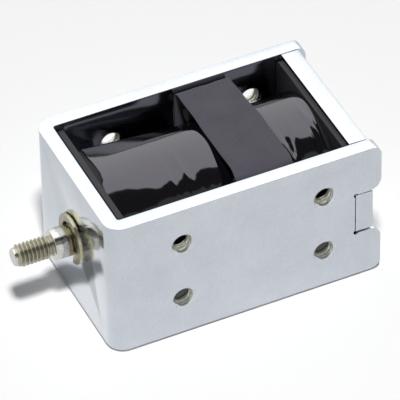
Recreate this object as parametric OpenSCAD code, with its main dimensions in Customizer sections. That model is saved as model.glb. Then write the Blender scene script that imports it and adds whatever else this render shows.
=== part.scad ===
// Push-pull solenoid in an open box frame.
//
// The working axis runs along X. The threaded push rod leaves the frame towards -X
// and the tapped tail of the plunger towards +X. The frame stands on the bottom
// edges of its walls (Z = 0), with its open side up. The origin is below the middle
// of the whole part. At rest the return spring holds the retaining ring against the
// front of the frame; with current in the coil the plunger runs to the fixed core
// and pushes the rod out by one stroke.

/* [Frame] */
// Height of the frame
frame_h = 27; // [26.8:0.1:30]
// Width across the two side walls
frame_w = 31; // [31:0.1:34]
// Length of the side walls
wall_l = 49.5; // [49.5:0.5:60]
// Thickness of the frame strip
strip_t = 2.5; // [2:0.1:2.5]
// Inside radius of the two bends
bend_r = 0.5; // [0.3:0.1:1]
// Radius of the outer corners at the rear of the side walls
wall_corner_r = 1.8; // [0.5:0.1:3]
// Radius of the corners at the mouth of the end-plate slots
mouth_r = 2.2; // [0.5:0.1:3]

/* [Mounting holes] */
// Spacing of the tapped holes along the frame
hole_pitch_x = 26; // [20:0.5:28]
// Spacing of the tapped holes up the wall
hole_pitch_z = 12; // [10:0.5:16]
// Distance of the first holes from the front of the frame
hole_first_x = 13; // [8:0.5:14]
// Tapping-drill diameter of the M4 holes
tap_d = 3.3; // [3.2:0.05:3.5]

/* [End plate] */
// Thickness of the end plate
plate_t = 3.2; // [2.5:0.1:3.2]
// How far the side walls stand past the end plate
overhang = 1.5; // [1:0.1:2]
// Height of the two end-plate tabs
tab_h = 8.3; // [6:0.1:10]
// Gap between a tab and its slot
tab_gap = 0.15; // [0.05:0.05:0.3]

/* [Coil] */
// Side of the square bobbin flanges
flange_side = 25.7; // [25.6:0.05:25.8]
// Thickness of the bobbin flanges
flange_t = 1; // [0.8:0.1:1.5]
// Outer diameter of the taped coil
coil_d = 25.3; // [24.8:0.1:25.3]
// Thickness of the outer film wrap
tape_t = 0.4; // [0.2:0.1:0.6]
// How far the winding's lead-out lifts the film at the front flange
lead_rise = 1.3; // [0.2:0.1:1.5]
// Width of the cloth band round the coil
band_w = 10.5; // [6:0.1:12]
// Distance of the cloth band from the front of the frame
band_x = 24.7; // [16:0.1:28]
// Thickness of the cloth band
band_t = 0.25; // [0.2:0.05:0.3]

/* [Plunger] */
// Diameter of the plunger
plunger_d = 12; // [11:0.1:12]
// Working stroke
stroke = 5; // [2:0.5:5]
// How far the tail stands out of the end plate at rest
tail_out = 2.5; // [1:0.1:3]
// Length of the conical nose
nose_l = 3; // [2:0.1:3]
// Thickness of the anti-stick washer, which sets the residual gap
residual_t = 0.4; // [0.2:0.05:0.5]

/* [Push rod] */
// Diameter of the rod
rod_d = 5.4; // [5:0.1:5.4]
// Length of plain rod in front of the frame
rod_plain = 4.1; // [3:0.1:8]
// Length of the M4 thread
thread_l = 6.9; // [5:0.1:12]
// Major diameter of the thread
thread_d = 4; // [3.9:0.05:4]
// Diameter of the retaining ring
ring_d = 9; // [8:0.1:10]
// Thickness of the retaining ring
ring_t = 0.6; // [0.5:0.05:0.7]

/* [Hidden] */
$fn = 72;

eps = 0.01;
run_gap = 0.06;                       // radial running clearance
axis_z = frame_h / 2;                 // height of the working axis
inner_w = frame_w - 2 * strip_t;      // clear width between the side walls

// Stations along the axis, measured back from the front face of the frame
plate_back = wall_l - overhang;
plate_front = plate_back - plate_t;
tail_x = plate_back + tail_out;
tip_x = -rod_plain - thread_l;
front_x = -(tip_x + tail_x) / 2;      // X of the front face in the part's own frame

core_face = 19;                       // rim of the fixed core
cone_floor = core_face - nose_l;      // bottom of the core's conical seat
pocket_floor = cone_floor - 6;        // bottom of the spring pocket
shoulder_x = core_face + residual_t + stroke + 0.02;
nose_x = shoulder_x - nose_l;

plunger_r = plunger_d / 2;
rod_r = rod_d / 2;
tube_in_r = plunger_r + run_gap;
tube_out_r = tube_in_r + 0.5;
barrel_in_r = tube_out_r + 0.05;
barrel_out_r = barrel_in_r + 1;
coil_r = coil_d / 2;

boss_r = 4.3;                         // staked boss of the core
bush_out_r = 3.5;
pocket_r = 3.9;
nose_base_r = 4.9;
nose_tip_r = 3.75;
seat_gap = 0.15;                      // the seat is this much wider than the nose

washer_t = 0.5;                       // end-play washer behind the front wall
flange_front = strip_t + washer_t;
wind_front = flange_front + flange_t;
wind_back = plate_front - flange_t;

groove_r = 2;                         // ring groove in the rod
groove_play = 0.05;
socket_l = 11;                        // depth of the rod socket in the plunger
tail_tap_l = 10;

// Local +Z runs back along the working axis from the front face of the frame
module on_axis() {
    translate([front_x, 0, axis_z]) rotate([0, 90, 0]) children();
}

// Ring of material between two radii and two stations
module tube(r_out, r_in, from, to) {
    translate([0, 0, from]) difference() {
        cylinder(r = r_out, h = to - from);
        translate([0, 0, -eps]) cylinder(r = r_in, h = to - from + 2 * eps);
    }
}

// What a corner of radius r takes off a square end that points to +x +y
module corner_cut(r) {
    difference() {
        translate([-r, -r]) square(r + 1);
        translate([-r, -r]) circle(r);
    }
}

// Centred rectangle; radii of the corners +x+y, -x+y, -x-y, +x-y
module rounded_rect(w, h, radii) {
    signs = [[1, 1], [-1, 1], [-1, -1], [1, -1]];
    difference() {
        square([w, h], center = true);
        for (k = [0 : 3])
            translate([signs[k].x * w / 2, signs[k].y * h / 2])
                into_quarter(signs[k]) corner_cut(radii[k]);
    }
}

// Turns a corner cut into the quarter that s points to
module into_quarter(s) {
    mirror([s.x < 0 ? 1 : 0, 0]) mirror([0, s.y < 0 ? 1 : 0]) children();
}

// Plan of the bent strip, front wall at x = 0, side walls running to +x
module strip_plan() {
    outer_r = bend_r + strip_t;
    difference() {
        translate([0, -frame_w / 2]) square([wall_l, frame_w]);
        translate([strip_t, -inner_w / 2]) inner_plan();
        for (s = [-1, 1])
            translate([0, s * frame_w / 2]) into_quarter([-1, s]) corner_cut(outer_r);
    }
}

// Clear space inside the strip, its two front corners rounded by the bends
module inner_plan() {
    difference() {
        square([wall_l, inner_w]);
        for (s = [-1, 1])
            translate([0, inner_w / 2 + s * inner_w / 2])
                into_quarter([-1, s]) corner_cut(bend_r);
    }
}

// Side view of a wall: x back from the front, y up. An open slot takes the tab.
module wall_side() {
    slot_h = tab_h + 2 * tab_gap;
    slot_x = plate_front - tab_gap;
    difference() {
        square([wall_l, frame_h]);
        translate([slot_x, axis_z - slot_h / 2]) square([wall_l, slot_h]);
        for (s = [-1, 1]) {
            translate([wall_l, axis_z + s * frame_h / 2])
                into_quarter([1, s]) corner_cut(wall_corner_r);
            translate([wall_l, axis_z + s * slot_h / 2])
                into_quarter([1, -s]) corner_cut(mouth_r);
            // round relief in the inner corners of the slot
            translate([slot_x + 0.2, axis_z + s * (slot_h / 2 - 0.2)]) circle(0.45);
        }
    }
}

// One tapped hole through a side wall, drawn along +Z from the inside of the wall
module tapped_hole() {
    countersink = 0.35;
    translate([0, 0, -1]) cylinder(d = tap_d, h = strip_t + 2);
    translate([0, 0, strip_t - countersink])
        cylinder(d1 = tap_d, d2 = tap_d + 2 * countersink + 0.2, h = countersink + eps);
    translate([0, 0, -eps])
        cylinder(d1 = tap_d + 2 * countersink, d2 = tap_d, h = countersink);
}

// Steel strip bent to a U: front wall and two side walls with their tapped holes
module yoke_frame() {
    color("#b9bec8") translate([front_x, 0, 0]) difference() {
        intersection() {
            linear_extrude(frame_h) strip_plan();
            translate([0, frame_w, 0]) rotate([90, 0, 0])
                linear_extrude(2 * frame_w) wall_side();
        }
        for (s = [-1, 1], i = [0, 1], k = [-1, 1])
            translate([hole_first_x + i * hole_pitch_x, s * inner_w / 2,
                       axis_z + k * hole_pitch_z / 2])
                rotate([s * -90, 0, 0]) tapped_hole();
        translate([-eps, 0, axis_z]) rotate([0, 90, 0])
            cylinder(r = boss_r, h = strip_t + 2 * eps);
    }
}

// Flat plate that closes the rear; its tabs lie in the slots of the side walls
module rear_plate() {
    wall_play = 0.02;
    color("#c3c7cf") on_axis() difference() {
        translate([0, 0, plate_front]) union() {
            linear_extrude(plate_t)
                rounded_rect(frame_h, inner_w - 2 * wall_play, [0.3, 0.3, 0.3, 0.3]);
            linear_extrude(plate_t)
                rounded_rect(tab_h, frame_w - 2 * wall_play, [0.4, 0.4, 0.4, 0.4]);
        }
        cylinder(r = tube_out_r, h = wall_l);
        translate([0, 0, plate_back - 0.3])
            cylinder(r1 = tube_out_r, r2 = tube_out_r + 0.4, h = 0.4);
    }
}

// Fixed core: a boss staked into the front wall, a conical seat for the plunger,
// a pocket for the return spring and a seat for the rod bush
module pole_core() {
    clear_r = rod_r + 0.3;
    bush_floor = 6;
    color("#9a9ca0") on_axis() rotate_extrude() polygon([
        [bush_out_r, 0], [boss_r, 0], [boss_r, strip_t], [plunger_r, strip_t],
        [plunger_r, core_face], [nose_base_r + seat_gap, core_face],
        [pocket_r, cone_floor], [pocket_r, pocket_floor], [clear_r, pocket_floor],
        [clear_r, bush_floor], [bush_out_r, bush_floor]
    ]);
}

// Bronze bush that guides the push rod in the fixed core
module rod_bush() {
    color("#b07d45") on_axis() tube(bush_out_r, rod_r + run_gap, 0.3, 6);
}

// Thin brass tube that guides the plunger and holds the coil on the core
module guide_tube() {
    color("#c9a24a") on_axis() tube(tube_out_r, tube_in_r, strip_t + 0.1, plate_back);
}

// Moulded bobbin: barrel, two square flanges and a slot for the winding's ends
module coil_bobbin() {
    notch_w = 1.6;
    notch_depth = 4;
    color("#2b2b2e") on_axis() difference() {
        union() {
            cylinder_between(barrel_out_r, flange_front, plate_front);
            for (x = [flange_front, wind_back])
                translate([0, 0, x]) linear_extrude(flange_t)
                    rounded_rect(flange_side, flange_side, [1.2, 1.2, 1.2, 1.2]);
        }
        cylinder_between(barrel_in_r, 0, wall_l);
        for (s = [-1, 1])
            translate([flange_side / 2 - notch_depth, s * 6 - notch_w / 2, wind_back - 1])
                cube([notch_depth + 1, notch_w, flange_t + 2]);
    }
}

// Solid round bar between two stations
module cylinder_between(r, from, to) {
    translate([0, 0, from]) cylinder(r = r, h = to - from);
}

// Fibre washer that takes up the bobbin's end play behind the front wall
module end_play_washer() {
    color("#6d5540") on_axis() tube(10.5, barrel_in_r, strip_t, flange_front);
}

// Film wrapped on the barrel below the wire
module barrel_film() {
    color("#c8b27a") on_axis()
        tube(barrel_out_r + 0.15, barrel_out_r, wind_front, wind_back);
}

// Enamelled copper wire, filling the bobbin up to the outer wrap
module magnet_winding() {
    color("#a4552a") on_axis()
        tube(coil_r - tape_t, barrel_out_r + 0.15, wind_front, wind_back);
}

// Section of the film where the lead-out lifts it, on the far upper side
module lifted_section(rise) {
    ridge_r = 1.5;
    ridge_angle = 140;
    hull() {
        circle(coil_r);
        rotate(ridge_angle) translate([coil_r + rise - ridge_r, 0]) circle(ridge_r);
    }
}

// Glossy black film wrapped round the winding. It rises over the lead-out, which runs
// from the front flange and sinks into the winding on its way to the band.
module coil_tape() {
    play = 0.05;
    from = wind_front + play;
    to = wind_back - play;
    slice = 0.02;
    color("#17161b") on_axis() difference() {
        union() {
            cylinder_between(coil_r, from, to);
            hull() {
                translate([0, 0, from]) linear_extrude(slice) lifted_section(lead_rise);
                translate([0, 0, band_x - 2]) linear_extrude(slice) lifted_section(0);
            }
        }
        cylinder_between(coil_r - tape_t, 0, wall_l);
    }
}

// Two sleeves over the soldered ends of the winding, under the band
module splice_sleeves() {
    sleeve_r = 1.1;
    reach = 9.75;
    color("#343236") on_axis() for (s = [-1, 1])
        translate([-reach, s * reach, band_x + 0.7])
            cylinder(r = sleeve_r, h = band_w - 1.4);
}

// Matte cloth band laid once round the coil over the sleeves, with a flat top
module insulation_band() {
    side = inner_w - 0.06;
    high = 26.2;
    corner = [3, 1.6, 4.2, 3];         // bottom far, top far, top near, bottom near
    color("#4f4d57") on_axis() translate([0, 0, band_x]) linear_extrude(band_w)
        difference() {
            rounded_rect(high, side, corner);
            rounded_rect(high - 2 * band_t, side - 2 * band_t,
                         [for (r = corner) r - band_t]);
        }
}

// Axial position of the spring's wire after u of its turns: closed end coils
function spring_rise(u, turns, pitch_end, length) =
    let (mid = turns - 2, mid_l = length - 2 * pitch_end)
    u < 1 ? u * pitch_end
    : u > turns - 1 ? length - (turns - u) * pitch_end
    : pitch_end + (u - 1) / mid * mid_l;

// Return spring round the rod, from the floor of the pocket to the plunger's nose
module return_spring() {
    wire_r = 0.25;
    coil_mean_r = 3.35;
    turns = 8;
    per_turn = 18;
    sides = 8;
    play = 0.04;
    low = pocket_floor + wire_r + play;
    length = nose_x - wire_r - play - low;
    rings = turns * per_turn;
    pts = [for (i = [0 : rings], j = [0 : sides - 1])
        let (a = 360 * i / per_turn, b = 360 * j / sides,
             r = coil_mean_r + wire_r * cos(b))
        [r * cos(a), r * sin(a),
         low + spring_rise(i / per_turn, turns, 2 * wire_r + 0.05, length)
             + wire_r * sin(b)]];
    skin = [for (i = [0 : rings - 1], j = [0 : sides - 1])
        let (n = (j + 1) % sides)
        [i * sides + j, (i + 1) * sides + j, (i + 1) * sides + n, i * sides + n]];
    caps = [[for (j = [0 : sides - 1]) j],
            [for (j = [sides - 1 : -1 : 0]) rings * sides + j]];
    color("#8d9096") on_axis() polyhedron(pts, concat(skin, caps), convexity = 10);
}

// Moving plunger: conical nose, socket for the rod, tapped tail, vent groove
module plunger() {
    chamfer = 0.5;
    tap_r = tap_d / 2;
    tap_floor = tail_x - tail_tap_l;
    socket_floor = nose_x + socket_l;
    color("#a3a5a8") on_axis() difference() {
        rotate_extrude() polygon([
            [0, socket_floor], [rod_r, socket_floor], [rod_r, nose_x],
            [nose_tip_r, nose_x], [nose_base_r, shoulder_x], [plunger_r, shoulder_x],
            [plunger_r, tail_x - chamfer], [plunger_r - chamfer, tail_x],
            [tap_r + 0.4, tail_x], [tap_r, tail_x - 0.4], [tap_r, tap_floor],
            [0, tap_floor - 0.9]
        ]);
        // groove that lets the air past the plunger
        translate([plunger_r - 0.5, -0.6, shoulder_x - 1])
            cube([2, 1.2, plate_back - 4 - shoulder_x]);
    }
}

// Push rod: pressed into the plunger, grooved for the ring, threaded at its tip
module push_rod() {
    thread_r = thread_d / 2;
    chamfer = 0.45;
    ring_back = -0.1 + groove_play;
    ring_front = -0.1 - ring_t - groove_play;
    color("#b8b2a8") on_axis() rotate_extrude() polygon([
        [0, tip_x], [thread_r - chamfer, tip_x], [thread_r, tip_x + chamfer],
        [thread_r, -rod_plain], [rod_r - 0.25, -rod_plain],
        [rod_r, -rod_plain + 0.25], [rod_r, ring_front], [groove_r, ring_front],
        [groove_r, ring_back], [rod_r, ring_back], [rod_r, nose_x + socket_l],
        [0, nose_x + socket_l]
    ]);
}

// Non-magnetic washer on the plunger's shoulder; it keeps the residual gap
module residual_washer() {
    color("#c98f4e") on_axis()
        tube(plunger_r - 0.1, nose_base_r + 0.05, shoulder_x - residual_t, shoulder_x);
}

// Snap ring with three pads in the rod's groove, its opening downwards
module retaining_ring() {
    pad_w = 1.9;
    rim_in_r = 3.15;
    opening_w = 3.8;
    turn = 14;
    color("#7d7350") on_axis() translate([0, 0, -0.1 - ring_t]) rotate(turn)
        linear_extrude(ring_t) difference() {
            union() {
                difference() {
                    circle(ring_d / 2);
                    circle(rim_in_r);
                }
                for (a = [60, 180, 300])
                    rotate(a) translate([groove_r, -pad_w / 2])
                        square([rim_in_r - groove_r + 0.2, pad_w]);
            }
            circle(groove_r + 0.03);
            translate([0, -opening_w / 2]) square([ring_d, opening_w]);
        }
}

yoke_frame();
rear_plate();
pole_core();
rod_bush();
guide_tube();
coil_bobbin();
end_play_washer();
barrel_film();
magnet_winding();
coil_tape();
splice_sleeves();
insulation_band();
return_spring();
plunger();
push_rod();
residual_washer();
retaining_ring();
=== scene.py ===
import math

import bmesh
import bpy
import numpy as np
from mathutils import Matrix, Vector


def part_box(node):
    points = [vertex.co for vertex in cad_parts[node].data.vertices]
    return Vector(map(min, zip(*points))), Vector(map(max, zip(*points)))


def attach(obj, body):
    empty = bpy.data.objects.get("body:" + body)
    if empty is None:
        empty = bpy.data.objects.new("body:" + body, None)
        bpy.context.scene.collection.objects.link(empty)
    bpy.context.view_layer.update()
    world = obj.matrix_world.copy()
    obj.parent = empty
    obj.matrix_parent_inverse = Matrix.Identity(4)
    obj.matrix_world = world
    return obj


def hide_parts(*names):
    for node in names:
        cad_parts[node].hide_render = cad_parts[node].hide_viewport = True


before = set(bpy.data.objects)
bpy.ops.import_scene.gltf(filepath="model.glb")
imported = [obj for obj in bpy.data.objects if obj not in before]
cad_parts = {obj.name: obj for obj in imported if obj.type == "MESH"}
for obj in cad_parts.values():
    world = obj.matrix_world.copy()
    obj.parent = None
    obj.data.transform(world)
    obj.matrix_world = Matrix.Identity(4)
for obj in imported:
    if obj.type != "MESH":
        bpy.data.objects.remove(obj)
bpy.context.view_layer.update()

# ---------------------------------------------------------------- camera and studio
# A long lens looks down on the frame's open side. A small key lamp from the near left
# casts the shadows. A half drum over the table is there for reflections alone: bright
# overhead and on the far side, dark half way up the near side, for the film's flank.

MM = 0.001
view_azimuth = math.radians(-24.57)
view_elevation = math.radians(41.87)
view_roll = math.radians(-1.08)
view_distance = 0.7687
view_target = Vector((0.00672, 0.00038, 0.01376))
view_shift = (-0.0027, -0.0019)

back = Vector((math.sin(view_azimuth) * math.cos(view_elevation),
               -math.cos(view_azimuth) * math.cos(view_elevation),
               math.sin(view_elevation)))
level_right = Vector((0, 0, 1)).cross(back).normalized()
level_up = back.cross(level_right)
right = level_right * math.cos(view_roll) + level_up * math.sin(view_roll)
up = level_up * math.cos(view_roll) - level_right * math.sin(view_roll)

camera_data = bpy.data.cameras.new("camera")
camera_data.sensor_width = 36
camera_data.lens = 411.4
camera_data.clip_start = 0.01
camera_data.clip_end = 20
camera = bpy.data.objects.new("camera", camera_data)
bpy.context.scene.collection.objects.link(camera)
turn = Matrix((right, up, back)).transposed().to_4x4()
place = view_target + right * view_shift[0] + up * view_shift[1] + back * view_distance
camera.matrix_world = Matrix.Translation(place) @ turn
bpy.context.scene.camera = camera
bpy.context.scene.view_settings.view_transform = "Standard"


def node_tree(name):
    """A new material and its emptied node tree."""
    material = bpy.data.materials.new(name)
    material.use_nodes = True
    material.node_tree.nodes.clear()
    return material, material.node_tree


def add_node(tree, kind, **inputs):
    """A node of that kind, with socket values given by name (spaces as underscores)."""
    made = tree.nodes.new(kind)
    for key, value in inputs.items():
        made.inputs[key.replace("_", " ")].default_value = value
    return made


def join(tree, *pairs):
    """Links (output socket, input socket) pairs."""
    for start, end in pairs:
        tree.links.new(start, end)


def math_node(tree, operation, *operands):
    """Output of a Math node; each operand is a socket or a number."""
    made = tree.nodes.new("ShaderNodeMath")
    made.operation = operation
    for place, value in enumerate(operands):
        if isinstance(value, (int, float)):
            made.inputs[place].default_value = value
        else:
            tree.links.new(value, made.inputs[place])
    return made.outputs[0]


def white_seen(tree, strength):
    """Strength where a camera, glossy or transmission ray looks, and 0 elsewhere."""
    path = tree.nodes.new("ShaderNodeLightPath")
    either = math_node(tree, "MAXIMUM", path.outputs["Is Camera Ray"],
                       path.outputs["Is Glossy Ray"])
    any_ray = math_node(tree, "MAXIMUM", either, path.outputs["Is Transmission Ray"])
    return math_node(tree, "MULTIPLY", any_ray, strength)


table_material, tree = node_tree("table")
matte = add_node(tree, "ShaderNodeBsdfDiffuse", Color=(0.90, 0.90, 0.90, 1))
lift = add_node(tree, "ShaderNodeEmission", Color=(1, 1, 1, 1))
both = tree.nodes.new("ShaderNodeAddShader")
leave = tree.nodes.new("ShaderNodeOutputMaterial")
join(tree, (white_seen(tree, 0.06), lift.inputs["Strength"]),
     (matte.outputs[0], both.inputs[0]), (lift.outputs[0], both.inputs[1]),
     (both.outputs[0], leave.inputs["Surface"]))

table_half = 3.0
table_mesh = bpy.data.meshes.new("table")
table_z = -0.60 * MM
table_mesh.from_pydata([(-table_half, -table_half, table_z),
                        (table_half, -table_half, table_z),
                        (table_half, table_half, table_z),
                        (-table_half, table_half, table_z)],
                       [], [(0, 1, 2, 3)])
table_mesh.materials.append(table_material)
table = bpy.data.objects.new("table", table_mesh)
bpy.context.scene.collection.objects.link(table)

world = bpy.data.worlds.new("studio")
bpy.context.scene.world = world
world.use_nodes = True
sky = world.node_tree
sky.nodes.clear()
sky_light = add_node(sky, "ShaderNodeBackground", Color=(1, 1, 1, 1))
leave = sky.nodes.new("ShaderNodeOutputWorld")
join(sky, (math_node(sky, "ADD", white_seen(sky, 0.90), 0.10),
           sky_light.inputs["Strength"]),
     (sky_light.outputs[0], leave.inputs["Surface"]))

key_data = bpy.data.lights.new("key", "AREA")
key_data.shape = "DISK"
key_data.size = 0.19
key_data.energy = 24.5
key = bpy.data.objects.new("key", key_data)
key_from = Vector((-0.148, -0.393, 0.908))
key_distance = 1.6
key.location = key_from * key_distance
key.rotation_euler = key_from.to_track_quat("Z", "Y").to_euler()
key.visible_camera = False
key.visible_glossy = False
bpy.context.scene.collection.objects.link(key)


# The half drum runs round the X axis from the table's near side over the top to its
# far side, and only glossy rays meet it. Its light is plain up to 32 degrees, weak
# from there up to 8 degrees short of the zenith, and beyond that
# 1 + sin(90 degrees * height / radius). A dim strip crosses the weak part.
drum_radius = 0.62
drum_ends = (-1.2, 1.4)
drum_weak = 0.05
drum_strip = 0.30
drum_arc = np.radians(np.concatenate([np.linspace(0, 82.3, 20),
                                      np.linspace(82.4, 180, 60)]))[:, None]
drum_x = np.array(drum_ends)[None, :] + 0 * drum_arc
drum_points = np.stack([drum_x, -drum_radius * np.cos(drum_arc) + 0 * drum_x,
                        drum_radius * np.sin(drum_arc) + 0 * drum_x], axis=-1)
drum_pair = 2 * np.arange(len(drum_arc) - 1)[:, None]
drum_mesh = bpy.data.meshes.new("reflection_drum")
drum_mesh.from_pydata(drum_points.reshape(-1, 3).tolist(), [],
                      (drum_pair + np.array([0, 1, 3, 2])).tolist())
drum_material, tree = node_tree("reflection_drum")
drum_spot = tree.nodes.new("ShaderNodeTexCoord")
split = tree.nodes.new("ShaderNodeSeparateXYZ")
join(tree, (drum_spot.outputs["Object"], split.inputs[0]))
drum_y, drum_z = split.outputs["Y"], split.outputs["Z"]
overhead = math_node(tree, "SINE",
                     math_node(tree, "MULTIPLY", drum_z, math.pi / 2 / drum_radius))
bright = math_node(tree, "ADD", overhead, 1.0 - drum_weak)
beyond = math_node(tree, "GREATER_THAN", drum_y,
                   -drum_radius * math.cos(math.radians(82.35)))
level = math_node(tree, "MULTIPLY_ADD", bright, beyond, drum_weak)
strip = math_node(tree, "COMPARE", drum_y, -drum_radius * 0.68, drum_radius * 0.11)
level = math_node(tree, "MULTIPLY_ADD", strip, drum_strip, level)
low_down = math_node(tree, "LESS_THAN", drum_y,
                     -drum_radius * math.cos(math.radians(32)))
glow = add_node(tree, "ShaderNodeEmission", Color=(1, 1, 1, 1))
leave = tree.nodes.new("ShaderNodeOutputMaterial")
join(tree, (math_node(tree, "ADD", low_down, level), glow.inputs["Strength"]),
     (glow.outputs[0], leave.inputs["Surface"]))
drum_mesh.materials.append(drum_material)
drum = bpy.data.objects.new("reflection_drum", drum_mesh)
bpy.context.scene.collection.objects.link(drum)
drum.visible_camera = False
drum.visible_diffuse = False
drum.visible_shadow = False
drum.visible_transmission = False

# ---------------------------------------------------------------- frame strip
# Cold-rolled steel strip, 2.5 mm thick, punched, tapped, bent to a U and zinc plated.
# The plating is bright with a fine rolled grain; the blanked edges are whiter, and
# tumbling has broken every sharp corner.


def new_group(name, inputs, outputs):
    """Empty shader node group; inputs are (name, kind, default), outputs (name, kind)."""
    group = bpy.data.node_groups.new(name, "ShaderNodeTree")
    for label, kind, default in inputs:
        socket = group.interface.new_socket(label, in_out="INPUT", socket_type=kind)
        socket.default_value = default
    for label, kind in outputs:
        group.interface.new_socket(label, in_out="OUTPUT", socket_type=kind)
    entry = group.nodes.new("NodeGroupInput")
    leave = group.nodes.new("NodeGroupOutput")
    return group, entry, leave


def noise(tree, where, scale, detail=2.0, roughness=0.5, stretch=None):
    """Factor of a Noise texture over object coordinates, stretched if asked."""
    if stretch is not None:
        mapping = tree.nodes.new("ShaderNodeMapping")
        mapping.inputs["Scale"].default_value = stretch
        tree.links.new(where, mapping.inputs["Vector"])
        where = mapping.outputs["Vector"]
    made = tree.nodes.new("ShaderNodeTexNoise")
    made.inputs["Detail"].default_value = detail
    made.inputs["Roughness"].default_value = roughness
    if isinstance(scale, (int, float)):
        made.inputs["Scale"].default_value = scale
    else:
        tree.links.new(scale, made.inputs["Scale"])
    tree.links.new(where, made.inputs["Vector"])
    return made.outputs["Fac"]


def mix_colour(tree, factor, first, second):
    """Mixed colour; factor is a socket, the colours are sockets or tuples."""
    made = tree.nodes.new("ShaderNodeMix")
    made.data_type = "RGBA"
    tree.links.new(factor, made.inputs["Factor"])
    for label, value in (("A", first), ("B", second)):
        socket = [s for s in made.inputs if s.name == label and s.type == "RGBA"][0]
        if isinstance(value, tuple):
            socket.default_value = value
        else:
            tree.links.new(value, socket)
    return [s for s in made.outputs if s.type == "RGBA"][0]


def here(tree):
    """Object coordinates."""
    return tree.nodes.new("ShaderNodeTexCoord").outputs["Object"]


# Metal grain: soft clouds of tint some millimetres wide, fine speckle of the rolled
# sheet, and a height from the speckle alone.
metal_grain, entry, leave = new_group(
    "metal_grain",
    [("Light", "NodeSocketColor", (0.7, 0.7, 0.7, 1)),
     ("Dark", "NodeSocketColor", (0.6, 0.6, 0.6, 1)),
     ("Cloud scale", "NodeSocketFloat", 160.0),
     ("Speckle scale", "NodeSocketFloat", 3200.0),
     ("Smooth", "NodeSocketFloat", 0.2),
     ("Rough", "NodeSocketFloat", 0.35)],
    [("Colour", "NodeSocketColor"), ("Roughness", "NodeSocketFloat"),
     ("Height", "NodeSocketFloat")])
spot = here(metal_grain)
clouds = noise(metal_grain, spot, entry.outputs["Cloud scale"], 4.0, 0.6)
speckle = noise(metal_grain, spot, entry.outputs["Speckle scale"], 3.0, 0.6)
clouded = math_node(metal_grain, "MULTIPLY_ADD", speckle, 1.1,
                    math_node(metal_grain, "MULTIPLY_ADD", clouds, 0.9, -0.5))
tint = mix_colour(metal_grain, clouded, entry.outputs["Dark"], entry.outputs["Light"])
spread = math_node(metal_grain, "SUBTRACT", entry.outputs["Rough"],
                   entry.outputs["Smooth"])
finish = math_node(metal_grain, "MULTIPLY_ADD", spread, speckle,
                   entry.outputs["Smooth"])
join(metal_grain, (tint, leave.inputs["Colour"]), (finish, leave.inputs["Roughness"]),
     (speckle, leave.inputs["Height"]))


def metal(name, light, dark, smooth, rough, cloud_scale=160.0, speckle_scale=3200.0,
          bump=0.0, metallic=1.0):
    """Metal with the grain group on its colour, roughness and, if asked, its height."""
    material, tree = node_tree(name)
    grain = tree.nodes.new("ShaderNodeGroup")
    grain.node_tree = metal_grain
    for label, value in (("Light", (*light, 1)), ("Dark", (*dark, 1)),
                         ("Cloud scale", cloud_scale),
                         ("Speckle scale", speckle_scale),
                         ("Smooth", smooth), ("Rough", rough)):
        grain.inputs[label].default_value = value
    shader = add_node(tree, "ShaderNodeBsdfPrincipled", Metallic=metallic)
    leave = tree.nodes.new("ShaderNodeOutputMaterial")
    join(tree, (grain.outputs["Colour"], shader.inputs["Base Color"]),
         (grain.outputs["Roughness"], shader.inputs["Roughness"]),
         (shader.outputs[0], leave.inputs["Surface"]))
    if bump:
        relief = add_node(tree, "ShaderNodeBump", Strength=1.0, Distance=bump)
        join(tree, (grain.outputs["Height"], relief.inputs["Height"]),
             (relief.outputs["Normal"], shader.inputs["Normal"]))
    return material


def soft_edged(node, name, width, segments=2, angle=35):
    """Copy of a CAD node whose sharp edges are broken by a small bevel."""
    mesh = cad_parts[node].data.copy()
    shell = bmesh.new()
    shell.from_mesh(mesh)
    bmesh.ops.remove_doubles(shell, verts=shell.verts, dist=1e-7)
    bmesh.ops.dissolve_limit(shell, angle_limit=math.radians(0.5), verts=shell.verts,
                             edges=shell.edges)
    shell.to_mesh(mesh)
    shell.free()
    mesh.shade_smooth()
    made = bpy.data.objects.new(name, mesh)
    bpy.context.scene.collection.objects.link(made)
    bevel = made.modifiers.new("broken_edges", "BEVEL")
    bevel.width = width
    bevel.segments = segments
    bevel.limit_method = "ANGLE"
    bevel.angle_limit = math.radians(angle)
    bevel.harden_normals = True
    return made


def dress(piece, material):
    """Gives a piece one material."""
    piece.data.materials.clear()
    piece.data.materials.append(material)


zinc = metal("zinc_plate", (0.60, 0.635, 0.68), (0.47, 0.50, 0.545), 0.09, 0.20,
             bump=1.0e-6)
yoke = soft_edged("yoke_frame", "frame_strip", 0.16 * MM)
dress(yoke, zinc)
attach(yoke, "frame_and_coil")
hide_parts("yoke_frame")

# ---------------------------------------------------------------- end plate
# Thicker blanked plate that closes the rear of the strip. Its tabs fill the slots of
# the side walls, and it is plated like the strip.

plate = soft_edged("rear_plate", "end_plate", 0.14 * MM)
dress(plate, zinc)
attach(plate, "frame_and_coil")
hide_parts("rear_plate")

# ---------------------------------------------------------------- threads
# M4 coarse threads cut in the eight side holes and in the plunger's tail. Each is a
# sleeve whose inside follows the thread's flanks: the radius is a triangle wave of
# the distance along the hole less the pitch times the turn.

yoke_low, yoke_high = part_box("yoke_frame")
axis_z = (yoke_low.z + yoke_high.z) / 2
front_x = yoke_low.x
half_width = yoke_high.y
thread_pitch = 0.7 * MM
tap_root = 1.638 * MM
hole_from_front = 13 * MM
hole_spacing = (26 * MM, 12 * MM)
sleeve_gap = 0.004 * MM


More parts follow.
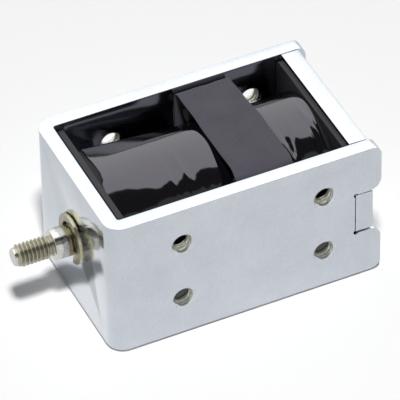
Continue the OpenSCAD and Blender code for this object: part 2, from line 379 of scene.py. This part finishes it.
def surface(name, rows, loop=False):
    """Mesh over a grid of points rows[i, j]: j runs once round each row and closes,
    i runs along the shape and closes too where loop is true. Rows that shrink to a
    point become poles. Faces are turned outwards at the end."""
    count, around = rows.shape[:2]
    i = np.arange(count if loop else count - 1)[:, None]
    j = np.arange(around)[None, :]
    i_next, j_next = (i + 1) % count, (j + 1) % around
    quads = np.stack([i * around + j, i_next * around + j,
                      i_next * around + j_next, i * around + j_next], axis=-1)
    mesh = bpy.data.meshes.new(name)
    mesh.from_pydata(rows.reshape(-1, 3).tolist(), [], quads.reshape(-1, 4).tolist())
    shell = bmesh.new()
    shell.from_mesh(mesh)
    bmesh.ops.remove_doubles(shell, verts=shell.verts, dist=1e-7)
    bmesh.ops.recalc_face_normals(shell, faces=shell.faces)
    shell.to_mesh(mesh)
    shell.free()
    mesh.shade_smooth()
    made = bpy.data.objects.new(name, mesh)
    bpy.context.scene.collection.objects.link(made)
    return made


def thread_wave(turns):
    """Triangle wave from 0 at the roots to 1 at the crests of a thread."""
    return 1 - np.abs(2 * (turns % 1.0) - 1)


def threaded_sleeve(name, mouth, direction, length, root, crest, flare, around=72):
    """Thread cut in a hole. mouth is the centre of the hole's mouth and direction the
    unit axis out of it. A closed sleeve: inside it starts as a countersink that is
    flare deep and as much wider than the root, and goes on as the thread; outside it
    follows the same line a hair wider."""
    steps = int(length / thread_pitch * 12)
    deep = np.concatenate([np.linspace(0, flare, 5)[:-1],
                           np.linspace(flare, length, steps)])
    angle = np.linspace(0, 2 * np.pi, around, endpoint=False)[None, :]
    fade = np.clip(np.minimum(deep - flare, length - deep) / (0.7 * thread_pitch), 0, 1)
    wave = thread_wave(deep[:, None] / thread_pitch - angle / (2 * np.pi))
    cone = np.clip(flare - deep, 0, None)
    radius = (root + cone)[:, None] - (root - crest) * wave * fade[:, None]
    hair = 0.006 * MM
    back_deep = np.array([length, flare, 0])
    back_radius = np.array([root, root, root + flare]) + hair
    radius = np.vstack([radius, np.repeat(back_radius[:, None], around, 1)])
    depth = np.concatenate([deep, back_deep])[:, None]
    out = np.array(direction, float)
    side = np.cross(out, (0, 0, 1.0) if abs(out[2]) < 0.9 else (1.0, 0, 0))
    side /= np.linalg.norm(side)
    other = np.cross(out, side)
    points = (np.array(mouth, float) - depth[..., None] * out
              + radius[..., None] * (np.cos(angle)[..., None] * side
                                     + np.sin(angle)[..., None] * other))
    return surface(name, points, loop=True)


side_holes = [(front_x + hole_from_front + column * hole_spacing[0], side,
               axis_z + (row - 0.5) * hole_spacing[1])
              for side in (-1, 1) for column in (0, 1) for row in (0, 1)]
hole_metal = metal("tapped_steel", (0.84, 0.85, 0.78), (0.34, 0.34, 0.27), 0.22, 0.40,
                   cloud_scale=900.0, metallic=0.78)
for number, (x, side, z) in enumerate(side_holes):
    thread = threaded_sleeve(f"side_thread_{number + 1}",
                             (x, side * (half_width - sleeve_gap), z), (0, side, 0),
                             length=2.2 * MM, root=tap_root, crest=1.36 * MM,
                             flare=0.42 * MM)
    dress(thread, hole_metal)
    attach(thread, "frame_and_coil")

# ---------------------------------------------------------------- bobbin
# One nylon moulding: a barrel and two square flanges. Only the flanges' edges show
# between the film and the end walls. The CAD solid has the right shape.


# Moulded speckle: fine noise that shades the colour and varies roughness and height.
moulded_speckle, entry, leave = new_group(
    "moulded_speckle",
    [("Light", "NodeSocketColor", (0.5, 0.5, 0.5, 1)),
     ("Dark", "NodeSocketColor", (0.4, 0.4, 0.4, 1)),
     ("Scale", "NodeSocketFloat", 2200.0),
     ("Smooth", "NodeSocketFloat", 0.4),
     ("Spread", "NodeSocketFloat", 0.12)],
    [("Colour", "NodeSocketColor"), ("Roughness", "NodeSocketFloat"),
     ("Height", "NodeSocketFloat")])
speckle = noise(moulded_speckle, here(moulded_speckle), entry.outputs["Scale"], 3.0, 0.6)
tint = mix_colour(moulded_speckle, speckle, entry.outputs["Dark"], entry.outputs["Light"])
finish = math_node(moulded_speckle, "MULTIPLY_ADD", speckle, entry.outputs["Spread"],
                   entry.outputs["Smooth"])
join(moulded_speckle, (tint, leave.inputs["Colour"]),
     (finish, leave.inputs["Roughness"]), (speckle, leave.inputs["Height"]))


def plastic(name, colour, roughness, speckle_scale=2200.0, bump=2e-6, spread=0.12,
            **shine):
    """Moulded plastic, paper or film with the speckle group; shine is for sockets of
    the shader itself."""
    material, tree = node_tree(name)
    grain = tree.nodes.new("ShaderNodeGroup")
    grain.node_tree = moulded_speckle
    grain.inputs["Light"].default_value = (*colour, 1)
    grain.inputs["Dark"].default_value = (*(0.75 * part for part in colour), 1)
    grain.inputs["Scale"].default_value = speckle_scale
    grain.inputs["Smooth"].default_value = roughness - spread / 2
    grain.inputs["Spread"].default_value = spread
    shader = add_node(tree, "ShaderNodeBsdfPrincipled", **shine)
    relief = add_node(tree, "ShaderNodeBump", Strength=1.0, Distance=bump)
    leave = tree.nodes.new("ShaderNodeOutputMaterial")
    join(tree, (grain.outputs["Colour"], shader.inputs["Base Color"]),
         (grain.outputs["Roughness"], shader.inputs["Roughness"]),
         (grain.outputs["Height"], relief.inputs["Height"]),
         (relief.outputs["Normal"], shader.inputs["Normal"]),
         (shader.outputs[0], leave.inputs["Surface"]))
    return material


dress(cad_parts["coil_bobbin"],
      plastic("black_nylon", (0.022, 0.022, 0.026), 0.55, Specular_IOR_Level=0.3))

# ---------------------------------------------------------------- film wrap
# Glossy black polyester film, wound tight round the wire and shrunk on. Its surface
# is drawn into long soft wrinkles that run along the coil and round it.

tape_low, tape_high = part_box("coil_tape")
tape_radius = (tape_high.z - tape_low.z) / 2
film_sunk = 0.10 * MM
film_deepest = 0.34 * MM
film_lining = 0.50 * MM
paper_depth = (0.30 * MM, 0.37 * MM)
ridge_radius = 1.5 * MM
ridge_turn = math.radians(40)
ridge_rise = 1.25 * MM
ridge_ends = (4.1, 22.7)
band_middle = 29.95


def smooth_noise(seed, rows, columns, size_rows, size_columns):
    """Seeded random grid, blown up with cosine weights to rows by columns; periodic
    in both directions. Values are about -1 to 1."""
    coarse = np.random.default_rng(seed).uniform(-1, 1, (size_rows, size_columns))

    def blow(values, count):
        place = np.arange(count) * values.shape[0] / count
        low = np.floor(place).astype(int) % values.shape[0]
        part = (1 - np.cos(np.pi * (place % 1))) / 2
        part = part.reshape(-1, *([1] * (values.ndim - 1)))
        return values[low] * (1 - part) + values[(low + 1) % values.shape[0]] * part

    return blow(blow(coarse, rows).T, columns).T


def blend(values, places, at):
    """Smooth curve through values given at places: cosine steps between them."""
    k = np.clip(np.searchsorted(places, at) - 1, 0, len(places) - 2)
    low, high = np.asarray(places)[k], np.asarray(places)[k + 1]
    share = (1 - np.cos(np.pi * np.clip((at - low) / (high - low), 0, 1))) / 2
    values = np.asarray(values, float)
    return values[k] * (1 - share) + values[k + 1] * share


def film_points(rows=262, around=370):
    """Film over the coil, as radius over station and angle from the top, far side
    positive. It is the hull of the coil's circle and of a small circle over the
    lead-out, plus soft noise, plus folds: a fold is a step in slope near the angle
    where the film turns down to the near side, placed by a curve along the coil. Short
    of both flanges the film ends in a wavy edge and the black paper below it shows. The
    profile runs over the outside and back along the inside, so the sleeve is closed.
    Returned with the points is where the paper shows. Stations are millimetres from
    the front wall's face, and the curves' angles are degrees."""
    angle = np.linspace(-np.pi, np.pi, around, endpoint=False)[None, :]
    degrees = np.degrees(angle)
    front_edge = blend([4.5, 4.6, 4.25, 4.3, 4.95, 5.2, 5.3, 5.6, 5.2],
                       [-180, -40, -21, -14, -8, 0, 20, 45, 180], degrees)
    rear_edge = blend([43.4, 43.1, 43.2, 43.5, 43.7, 43.6, 43.4],
                      [-180, -39, -23, -8, 5, 25, 180], degrees)

    # The rows crowd together at both wavy edges, half a step's width to each side.
    half_step = 0.05 * MM
    past_end = 0.045 * MM
    knots = [0, 0.025, 0.035, 0.975, 0.985, 1]
    stops = [tape_low.x - past_end,
             front_x + front_edge * MM - half_step, front_x + front_edge * MM + half_step,
             front_x + rear_edge * MM - half_step, front_x + rear_edge * MM + half_step,
             tape_high.x + past_end]
    row = np.linspace(0, 1, rows)[:, None]
    x = stops[0] + 0 * row * angle
    for k in range(len(knots) - 1):
        share = np.clip((row - knots[k]) / (knots[k + 1] - knots[k]), 0, 1)
        x = x + share * (stops[k + 1] - stops[k])
    station = (x - front_x) / MM

    # Radius of the two circles' hull: the small circle within its own arc, the straight
    # tangent from there to the coil, and the coil's circle beyond.
    base = tape_radius - film_sunk
    rise = ridge_rise * np.clip((ridge_ends[1] - station)
                                / (ridge_ends[1] - ridge_ends[0]), 0, 1)
    reach = base + rise - ridge_radius
    off = np.abs(angle - ridge_turn)
    tilt = np.arccos(np.clip((base - ridge_radius) / reach, -1, 1))
    tangent = base / np.maximum(np.cos(off - tilt), 0.2)
    across = reach * np.sin(off)
    ridge = reach * np.cos(off) + np.sqrt(np.maximum(ridge_radius ** 2 - across ** 2, 0))
    arc_end = np.arctan2(ridge_radius * np.sin(tilt), reach + ridge_radius * np.cos(tilt))
    hull = np.where(off < arc_end, ridge, np.where(off < tilt, tangent, base))

    # Upper folds: the angle where the film's flat part ends, at stations on the coil.
    fold_x = [3.9, 5.4, 7.5, 10, 13.3, 14.4, 15.4, 16.2, 17.2, 18.1, 18.7, 19.4, 20.2,
              21.0, 24, 34, 36.0, 37.3, 38.5, 39.5, 41.0, 41.8, 42.5, 43.2, 43.9]
    upper = [-21, -21, -22, -25.2, -29, -27.5, -25.5, -31.5, -28, -23, -29.5, -32,
             -26.5, -24.5, -27.5, -25, -25, -40, -23.5, -26.5, -26.5, -18, -23, -38, -40]
    upper_at = np.radians(blend(upper, fold_x, station))
    upper_mean = math.radians(-26.5)
    upper_width = math.radians(13)
    near = (angle - upper_at) / upper_width
    fold = np.tan(upper_at - upper_mean) * base * upper_width * near * np.exp(-near ** 2)

    # Lower folds: a smaller step further down on the near side.
    lower = [-36, -38, -44, -60, -40, -37, -36, -46, -40, -36, -50, -44, -38, -35,
             -60, -60, -36, -50, -36, -42, -36, -32, -44, -50, -60]
    lower_at = np.radians(blend(lower, fold_x, station))
    lower_width = math.radians(8)
    lower_height = 0.05 * MM
    near = (angle - lower_at) / lower_width
    fold = fold + lower_height * near * np.exp(-near ** 2)

    wrinkle = (0.020 * smooth_noise(3, rows, around, 9, 14)
               + 0.004 * smooth_noise(8, rows, around, 55, 34)) * MM
    band_gap = np.abs(station - band_middle) - 5.25
    pressed = 0.08 * MM * np.exp(-(band_gap / 0.45) ** 2)
    outside = np.maximum(hull + fold + wrinkle - pressed, tape_radius - film_deepest)
    on_film = np.clip((station - front_edge) / 0.1 + 0.5, 0, 1)
    on_film = on_film * np.clip((rear_edge - station) / 0.1 + 0.5, 0, 1)
    under = np.maximum(hull - paper_depth[0], tape_radius - paper_depth[1])
    outside = under + (outside - under) * on_film
    inside = np.full((2, around), tape_radius - film_lining)
    radius = np.vstack([outside, inside])
    along = np.vstack([x, x[-1:], x[:1]])
    points = np.stack([along, radius * np.sin(angle),
                       axis_z + radius * np.cos(angle)], axis=-1)
    bare = np.vstack([on_film < 0.5, np.full((2, around), True)])
    return points, bare


def second_material(piece, material, chosen):
    """Gives a second material to the chosen faces, an array of True and False."""
    piece.data.materials.append(material)
    piece.data.polygons.foreach_set("material_index", chosen.astype(np.int32))


film_grid, paper_shows = film_points()
film = surface("film_wrap", film_grid, loop=True)
dress(film, plastic("black_film", (0.0035, 0.0032, 0.0045), 0.08, speckle_scale=900.0,
                    bump=3e-7, spread=0.04, IOR=1.5, Specular_IOR_Level=1.0,
                    Specular_Tint=(0.93, 0.90, 1.0, 1)))
first_loop = np.empty(len(film.data.polygons), dtype=np.int32)
film.data.polygons.foreach_get("loop_start", first_loop)
corners = np.empty(len(film.data.loops), dtype=np.int32)
film.data.loops.foreach_get("vertex_index", corners)
second_material(film,
                plastic("black_paper", (0.012, 0.012, 0.013), 0.75,
                        Specular_IOR_Level=0.35),
                paper_shows.ravel()[corners[first_loop]])
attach(film, "frame_and_coil")
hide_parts("coil_tape")

# ---------------------------------------------------------------- cloth band
# Matte dark grey cloth tape, laid once round the coil over the soldered joints. It
# bridges them with a flat top that is square on the far side and round on the near.

band_low, band_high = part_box("insulation_band")
cloth_thick = 0.24 * MM


def rounded_outline(half_w, half_h, radii, arc_points=14, side_points=26):
    """Closed outline of a rectangle, from the top far corner on: (y, z) points. The
    corners are arcs with their own radii: top far, top near, bottom near, bottom far."""
    corners = [(1, 1), (-1, 1), (-1, -1), (1, -1)]
    starts = [0, 90, 180, 270]
    points = []
    for (sy, sz), start, radius in zip(corners, starts, radii):
        turn = np.radians(start + np.linspace(0, 90, arc_points))
        centre = np.array([sy * (half_w - radius), sz * (half_h - radius)])
        points.append(centre + radius * np.stack([np.cos(turn), np.sin(turn)], -1))
    full = []
    for k in range(4):
        full.append(points[k])
        start, end = points[k][-1], points[(k + 1) % 4][0]
        share = np.linspace(0, 1, side_points + 2)[1:-1, None]
        full.append(start + (end - start) * share)
    return np.vstack(full)


def band_points(rows=70):
    """Cloth band: the outline carried along X with slightly wavy edges, the inside
    offset by the cloth's thickness. Rows go out along the skin and back inside. On the
    far side the rear edge runs askew, and the cloth is dented by seeded noise."""
    centre_z = (band_low.z + band_high.z) / 2
    half_w = (band_high.y - band_low.y) / 2
    half_h = (band_high.z - band_low.z) / 2
    radii = np.array([1.6, 4.2, 3.0, 3.0]) * MM
    outer = rounded_outline(half_w - 0.02 * MM, half_h - 0.04 * MM, radii)
    inner = rounded_outline(half_w - cloth_thick, half_h - cloth_thick,
                            radii - 0.2 * MM)
    around = len(outer)
    turn = np.linspace(0, 2 * np.pi, around, endpoint=False)
    share = np.linspace(0, 1, rows)[:, None]
    front_wave = 0.05 * MM * np.sin(9 * turn + 0.6) + 0.03 * MM * np.sin(17 * turn)
    rear_wave = 0.04 * MM * np.sin(11 * turn + 2.1) + 0.03 * MM * np.sin(19 * turn + 1)
    front_end = band_low.x + 0.08 * MM + front_wave
    rear_end = band_high.x - 0.08 * MM + rear_wave
    skew = 0.62 * MM * np.clip((outer[:, 0] - 1 * MM) / (10 * MM), 0, 1)
    rear_end = rear_end - skew
    x = front_end + (rear_end - front_end) * share
    dent = 0.05 * MM * (smooth_noise(11, rows, around, 5, 24) - 1)
    outward = outer / np.linalg.norm(outer, axis=1, keepdims=True)
    skin = outer[None] + dent[..., None] * outward[None]
    lining = np.repeat(inner[None], 6, axis=0)
    back_x = rear_end + (front_end - rear_end) * np.linspace(0, 1, 6)[:, None]
    yz = np.concatenate([skin, lining])
    along = np.concatenate([x, back_x])
    return np.stack([along, yz[..., 0], centre_z + yz[..., 1]], axis=-1)


cloth, tree = node_tree("band_cloth")
spot = here(tree)
yarns = []
for direction in ("X", "Y"):
    yarn = add_node(tree, "ShaderNodeTexWave", Scale=520.0, Distortion=1.2)
    yarn.bands_direction = direction
    join(tree, (spot, yarn.inputs["Vector"]))
    yarns.append(yarn.outputs["Fac"])
weave = math_node(tree, "MULTIPLY", *yarns)
fuzz = noise(tree, spot, 2600.0, 3.0, 0.7)
patches = noise(tree, spot, 220.0, 2.0, 0.5)
nap = math_node(tree, "ADD", math_node(tree, "MULTIPLY", weave, 0.12),
                math_node(tree, "MULTIPLY", fuzz, 0.88))
worn = math_node(tree, "MULTIPLY_ADD", patches, 0.4,
                 math_node(tree, "MULTIPLY", nap, 0.7))
cloth_colour = mix_colour(tree, worn, (0.030, 0.028, 0.036, 1),
                          (0.094, 0.087, 0.112, 1))

# Painted shade: the cloth's colour goes almost black, in ragged patches, where it turns
# down to the near side.
split = tree.nodes.new("ShaderNodeSeparateXYZ")
painted_shade_ramp = add_node(tree, "ShaderNodeMapRange", From_Min=10.6 * MM, From_Max=12.4 * MM)
painted_shade_ramp.interpolation_type = "SMOOTHSTEP"
join(tree, (spot, split.inputs[0]))
nearness = math_node(tree, "MULTIPLY", split.outputs["Y"], -1.0)
ragged = math_node(tree, "MULTIPLY_ADD", patches, 1.6 * MM,
                   math_node(tree, "SUBTRACT", nearness, 0.8 * MM))
join(tree, (ragged, painted_shade_ramp.inputs["Value"]))
cloth_colour = mix_colour(tree, painted_shade_ramp.outputs["Result"], cloth_colour,
                          (0.006, 0.006, 0.007, 1))
relief = add_node(tree, "ShaderNodeBump", Strength=1.0, Distance=2.5e-5)
shader = add_node(tree, "ShaderNodeBsdfPrincipled", Roughness=0.92, Sheen_Weight=0.15)
leave = tree.nodes.new("ShaderNodeOutputMaterial")
join(tree, (cloth_colour, shader.inputs["Base Color"]), (nap, relief.inputs["Height"]),
     (relief.outputs["Normal"], shader.inputs["Normal"]),
     (shader.outputs[0], leave.inputs["Surface"]))
band = surface("cloth_band", band_points(), loop=True)
dress(band, cloth)
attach(band, "frame_and_coil")
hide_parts("insulation_band")

# ---------------------------------------------------------------- winding and joints
# Under the film lies enamelled copper wire on a barrel wrapped in amber film. Two
# woven sleeves cover the soldered ends; a fibre washer takes up the bobbin's play.

dress(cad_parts["magnet_winding"],
      metal("enamelled_wire", (0.62, 0.27, 0.12), (0.48, 0.19, 0.08), 0.2, 0.3))
dress(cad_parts["barrel_film"], plastic("amber_film", (0.55, 0.38, 0.14), 0.2))
dress(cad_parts["splice_sleeves"],
      plastic("woven_sleeve", (0.030, 0.028, 0.030), 0.8, 1800.0, 1.5e-5))
dress(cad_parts["end_play_washer"],
      plastic("vulcanised_fibre", (0.20, 0.12, 0.07), 0.75, 1500.0, 8e-6))

# ---------------------------------------------------------------- core and guides
# Soft iron core staked into the front wall, a bronze bush for the rod and a brass
# tube for the plunger. The bush's face and the tube's rear rim show.

dress(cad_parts["pole_core"],
      metal("nickelled_iron", (0.60, 0.60, 0.59), (0.45, 0.45, 0.45), 0.18, 0.32))
dress(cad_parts["rod_bush"],
      metal("sintered_bronze", (0.58, 0.36, 0.16), (0.40, 0.23, 0.10), 0.35, 0.6,
            speckle_scale=5200.0, bump=4e-6))
dress(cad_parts["guide_tube"],
      metal("drawn_brass", (0.80, 0.62, 0.28), (0.66, 0.48, 0.19), 0.15, 0.3))

# ---------------------------------------------------------------- push rod
# Stainless rod turned to 5.4 mm, with a rolled M4 thread on its tip and a groove for
# the ring. One surface of revolution whose radius over the thread is a helical wave.

rod_low, rod_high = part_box("push_rod")
rod_radius = (rod_high.z - rod_low.z) / 2
thread_major = 2.0 * MM
thread_minor = 1.58 * MM
groove_radius = 2.0 * MM
shoulder = front_x - 4.1 * MM
ring_front = front_x - 0.75 * MM
ring_back = front_x - 0.05 * MM


def rod_points(around=112):
    """Rod as rows of circles along X. The rows are dense over the thread, where the
    radius is minor + (major - minor) * wave(x / pitch - turn), faded at both ends."""
    thread_x = np.arange(rod_low.x + 0.5 * MM, shoulder - 0.02 * MM, thread_pitch / 16)
    tip = [(rod_low.x, 0.0), (rod_low.x, 0.6 * MM), (rod_low.x, 1.1 * MM),
           (rod_low.x, 1.42 * MM), (rod_low.x + 0.05 * MM, 1.50 * MM),
           (rod_low.x + 0.30 * MM, 1.60 * MM)]
    edge = 0.05 * MM
    body = [(shoulder, thread_minor), (shoulder, 2.1 * MM),
            (shoulder, rod_radius - 0.28 * MM),
            (shoulder + 0.06 * MM, rod_radius - 0.12 * MM),
            (shoulder + 0.14 * MM, rod_radius - 0.04 * MM),
            (shoulder + 0.25 * MM, rod_radius),
            (ring_front - 0.06 * MM, rod_radius), (ring_front, rod_radius - edge),
            (ring_front, groove_radius), (ring_back, groove_radius),
            (ring_back, rod_radius - edge), (ring_back + edge, rod_radius),
            (rod_high.x - 0.1 * MM, rod_radius), (rod_high.x, rod_radius - 0.1 * MM),
            (rod_high.x, 0.0)]
    angle = np.linspace(0, 2 * np.pi, around, endpoint=False)[None, :]
    x = thread_x[:, None]
    wave = thread_wave(x / thread_pitch - angle / (2 * np.pi))
    crest = np.minimum(wave * 1.25, 1.0)
    start = np.clip((x - thread_x[0]) / (0.8 * thread_pitch), 0, 1)
    stop = np.clip((shoulder - 0.35 * MM - x) / (0.8 * thread_pitch), 0, 1)
    thread = thread_minor + (thread_major - thread_minor) * crest * start * stop
    (tip_x, tip_r), (body_x, body_r) = np.array(tip).T, np.array(body).T
    xs = np.concatenate([tip_x, thread_x, body_x])[:, None]
    radii = np.vstack([np.repeat(tip_r[:, None], around, 1), thread,
                       np.repeat(body_r[:, None], around, 1)])
    return np.stack([xs + 0 * radii, radii * np.sin(angle),
                     axis_z + radii * np.cos(angle)], axis=-1)


# Turning marks: fine rings round the X axis, uneven along it, that vary the
# roughness and the height.
turning, entry, leave = new_group(
    "turning_marks", [("Scale", "NodeSocketFloat", 3000.0)],
    [("Mask", "NodeSocketFloat")])
split = turning.nodes.new("ShaderNodeSeparateXYZ")
turning.links.new(here(turning), split.inputs[0])
station = math_node(turning, "MULTIPLY", split.outputs["X"], entry.outputs["Scale"])
lines = turning.nodes.new("ShaderNodeTexNoise")
lines.noise_dimensions = "1D"
lines.inputs["Scale"].default_value = 1.0
lines.inputs["Detail"].default_value = 3.0
join(turning, (station, lines.inputs["W"]),
     (lines.outputs["Fac"], leave.inputs["Mask"]))


def turned_metal(name, light, dark, smooth, rough, scale=3000.0, bump=1.5e-6):
    """Turned metal: rings from the turning group on colour, roughness and height."""
    material, tree = node_tree(name)
    rings = tree.nodes.new("ShaderNodeGroup")
    rings.node_tree = turning
    rings.inputs["Scale"].default_value = scale
    mask = rings.outputs["Mask"]
    shader = add_node(tree, "ShaderNodeBsdfPrincipled", Metallic=1.0)
    leave = tree.nodes.new("ShaderNodeOutputMaterial")
    relief = add_node(tree, "ShaderNodeBump", Strength=1.0, Distance=bump)
    tint = mix_colour(tree, mask, (*dark, 1), (*light, 1))
    finish = math_node(tree, "MULTIPLY_ADD", mask, rough - smooth, smooth)
    join(tree, (tint, shader.inputs["Base Color"]),
         (finish, shader.inputs["Roughness"]), (mask, relief.inputs["Height"]),
         (relief.outputs["Normal"], shader.inputs["Normal"]),
         (shader.outputs[0], leave.inputs["Surface"]))
    return material


def face_values(piece, name):
    """A vector of each face, its center or its normal, as rows of an array."""
    values = np.empty(3 * len(piece.data.polygons), dtype=np.float32)
    piece.data.polygons.foreach_get(name, values)
    return values.reshape(-1, 3)


rod = surface("rod_with_thread", rod_points())
dress(rod, turned_metal("stainless_rod", (0.62, 0.61, 0.57), (0.47, 0.46, 0.42),
                        0.12, 0.26))
face_x = face_values(rod, "center")[:, 0]
# The thread takes a darker olive copy of the rod's metal: painted shade.
second_material(rod,
                turned_metal("rolled_thread_painted_shade", (0.46, 0.44, 0.36), (0.27, 0.25, 0.18),
                             0.24, 0.42, scale=5200.0, bump=3e-6),
                (face_x > rod_low.x + 0.2 * MM) & (face_x < shoulder - 0.02 * MM))
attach(rod, "plunger_and_rod")
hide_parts("push_rod")

# ---------------------------------------------------------------- retaining ring
# Snap ring blanked from spring steel, yellow passivated, with three pads in the
# rod's groove. Blanking leaves its edges round.

ring = soft_edged("retaining_ring", "snap_ring", 0.10 * MM, segments=3)
dress(ring, metal("yellow_passivated_rim", (0.62, 0.57, 0.38), (0.44, 0.40, 0.25),
                  0.16, 0.34))
# The flat faces take a darker olive copy of the rim's metal: painted shade, so the rim
# reads lighter.
second_material(ring,
                metal("olive_face_painted_shade", (0.30, 0.28, 0.19), (0.20, 0.185, 0.115),
                      0.22, 0.42, cloud_scale=700.0),
                np.abs(face_values(ring, "normal")[:, 0]) > 0.9)
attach(ring, "plunger_and_rod")
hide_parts("retaining_ring")

# ---------------------------------------------------------------- plunger
# Ground and nickel-plated soft iron. Its tail stands out of the end plate, with a
# tapped hole for a pull screw; the conical nose is inside the coil.

plunger_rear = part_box("plunger")[1].x
dress(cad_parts["plunger"],
      turned_metal("ground_plunger", (0.68, 0.68, 0.68), (0.55, 0.55, 0.55), 0.14, 0.30))
tail_thread = threaded_sleeve("tail_thread",
                              (plunger_rear - sleeve_gap, 0, axis_z), (1, 0, 0),
                              length=9.0 * MM, root=tap_root, crest=1.43 * MM,
                              flare=0.38 * MM)
dress(tail_thread, hole_metal)
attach(tail_thread, "plunger_and_rod")

# ---------------------------------------------------------------- spring and washer
# Return spring of drawn wire in the core's pocket, and the bronze anti-stick washer
# on the plunger's shoulder. Both are hidden inside the coil.

dress(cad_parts["return_spring"],
      metal("spring_wire", (0.50, 0.51, 0.53), (0.38, 0.39, 0.41), 0.2, 0.35))
dress(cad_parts["residual_washer"],
      metal("phosphor_bronze", (0.72, 0.46, 0.24), (0.58, 0.35, 0.17), 0.18, 0.3))
